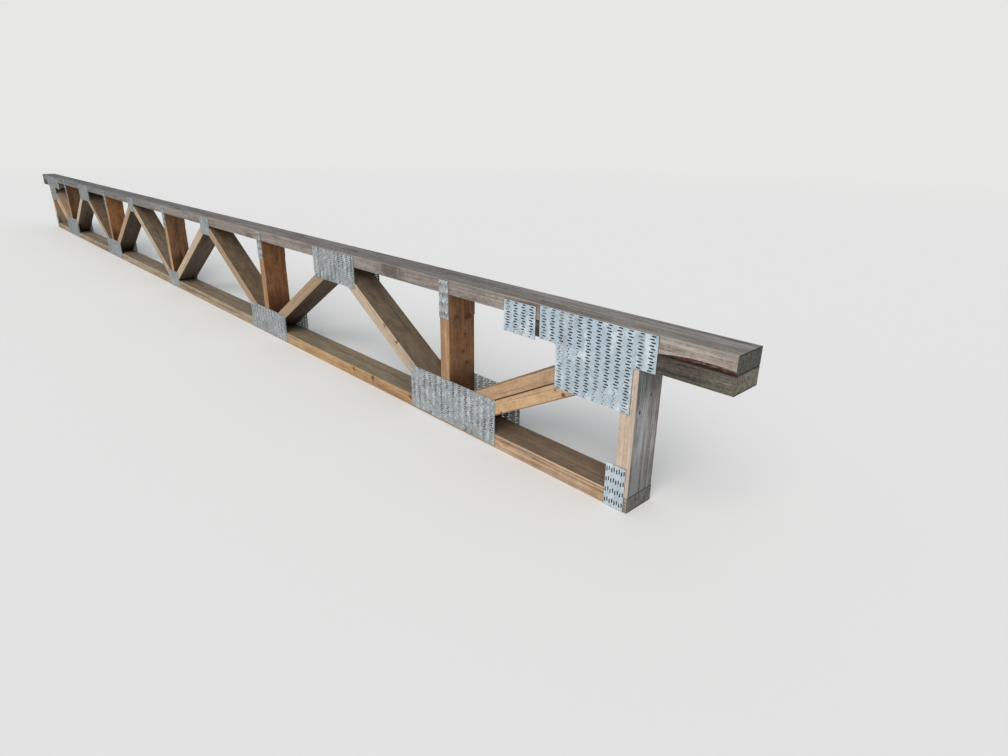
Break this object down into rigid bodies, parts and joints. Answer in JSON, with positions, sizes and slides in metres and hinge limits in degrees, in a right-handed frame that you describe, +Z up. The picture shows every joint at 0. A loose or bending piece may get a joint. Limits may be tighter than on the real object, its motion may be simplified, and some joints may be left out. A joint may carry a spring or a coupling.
{
  "type": "open-web floor truss",
  "caption": "Open-web floor joist of flat-laid lumber: two level chords joined by posts and sloping web boards, with toothed steel nail plates, hung by its top chord.",
  "frame": {"origin": "middle of the truss on the underside of the bottom chord, midway between its two faces", "axes": "+X along the truss to its right end seen from the front, -Y out of the front face, +Z up"},
  "size_m": [6.077, 0.0908, 0.4064],
  "materials": {
    "weathered_lumber": "weathered, grey-tan",
    "tan_lumber": "sawn and planed, warm tan",
    "web_lumber": "planed, light tan",
    "galvanised_steel": "galvanised, dull"
  },
  "bodies": {
    "root": {"bottom_chord": "tan_lumber", "bottom_plate_1_back": "galvanised_steel", "bottom_plate_1_front": "galvanised_steel", "bottom_plate_2_back": "galvanised_steel", "bottom_plate_2_front": "galvanised_steel", "bottom_plate_3_back": "galvanised_steel", "bottom_plate_3_front": "galvanised_steel", "bottom_plate_4_back": "galvanised_steel", "bottom_plate_4_front": "galvanised_steel", "bottom_plate_5_back": "galvanised_steel", "bottom_plate_5_front": "galvanised_steel", "chord_doubler_left": "weathered_lumber", "chord_doubler_right": "weathered_lumber", "doubler_plate_left_back": "galvanised_steel", "doubler_plate_left_front": "galvanised_steel", "doubler_plate_right_back": "galvanised_steel", "doubler_plate_right_front": "galvanised_steel", "end_plate_left_back": "galvanised_steel", "end_plate_left_front": "galvanised_steel", "end_plate_right_back": "galvanised_steel", "end_plate_right_front": "galvanised_steel", "end_post_left": "weathered_lumber", "end_post_right": "weathered_lumber", "foot_plate_left_back": "galvanised_steel", "foot_plate_left_front": "galvanised_steel", "foot_plate_right_back": "galvanised_steel", "foot_plate_right_front": "galvanised_steel", "lower_end_web_left": "web_lumber", "lower_end_web_right": "web_lumber", "post_plates_1": "galvanised_steel", "post_plates_2": "galvanised_steel", "post_plates_3": "galvanised_steel", "post_plates_4": "galvanised_steel", "post_plates_5": "galvanised_steel", "top_chord": "weathered_lumber", "top_plate_1_back": "galvanised_steel", "top_plate_1_front": "galvanised_steel", "top_plate_2_back": "galvanised_steel", "top_plate_2_front": "galvanised_steel", "top_plate_3_back": "galvanised_steel", "top_plate_3_front": "galvanised_steel", "top_plate_4_back": "galvanised_steel", "top_plate_4_front": "galvanised_steel", "upper_end_web_left": "web_lumber", "upper_end_web_right": "web_lumber", "web_board_1": "web_lumber", "web_board_2": "web_lumber", "web_board_3": "web_lumber", "web_board_4": "web_lumber", "web_board_5": "web_lumber", "web_board_6": "web_lumber", "web_board_7": "web_lumber", "web_board_8": "web_lumber", "web_post_1": "web_lumber", "web_post_2": "web_lumber", "web_post_3": "web_lumber", "web_post_4": "web_lumber", "web_post_5": "web_lumber"}
  },
  "joints": []
}
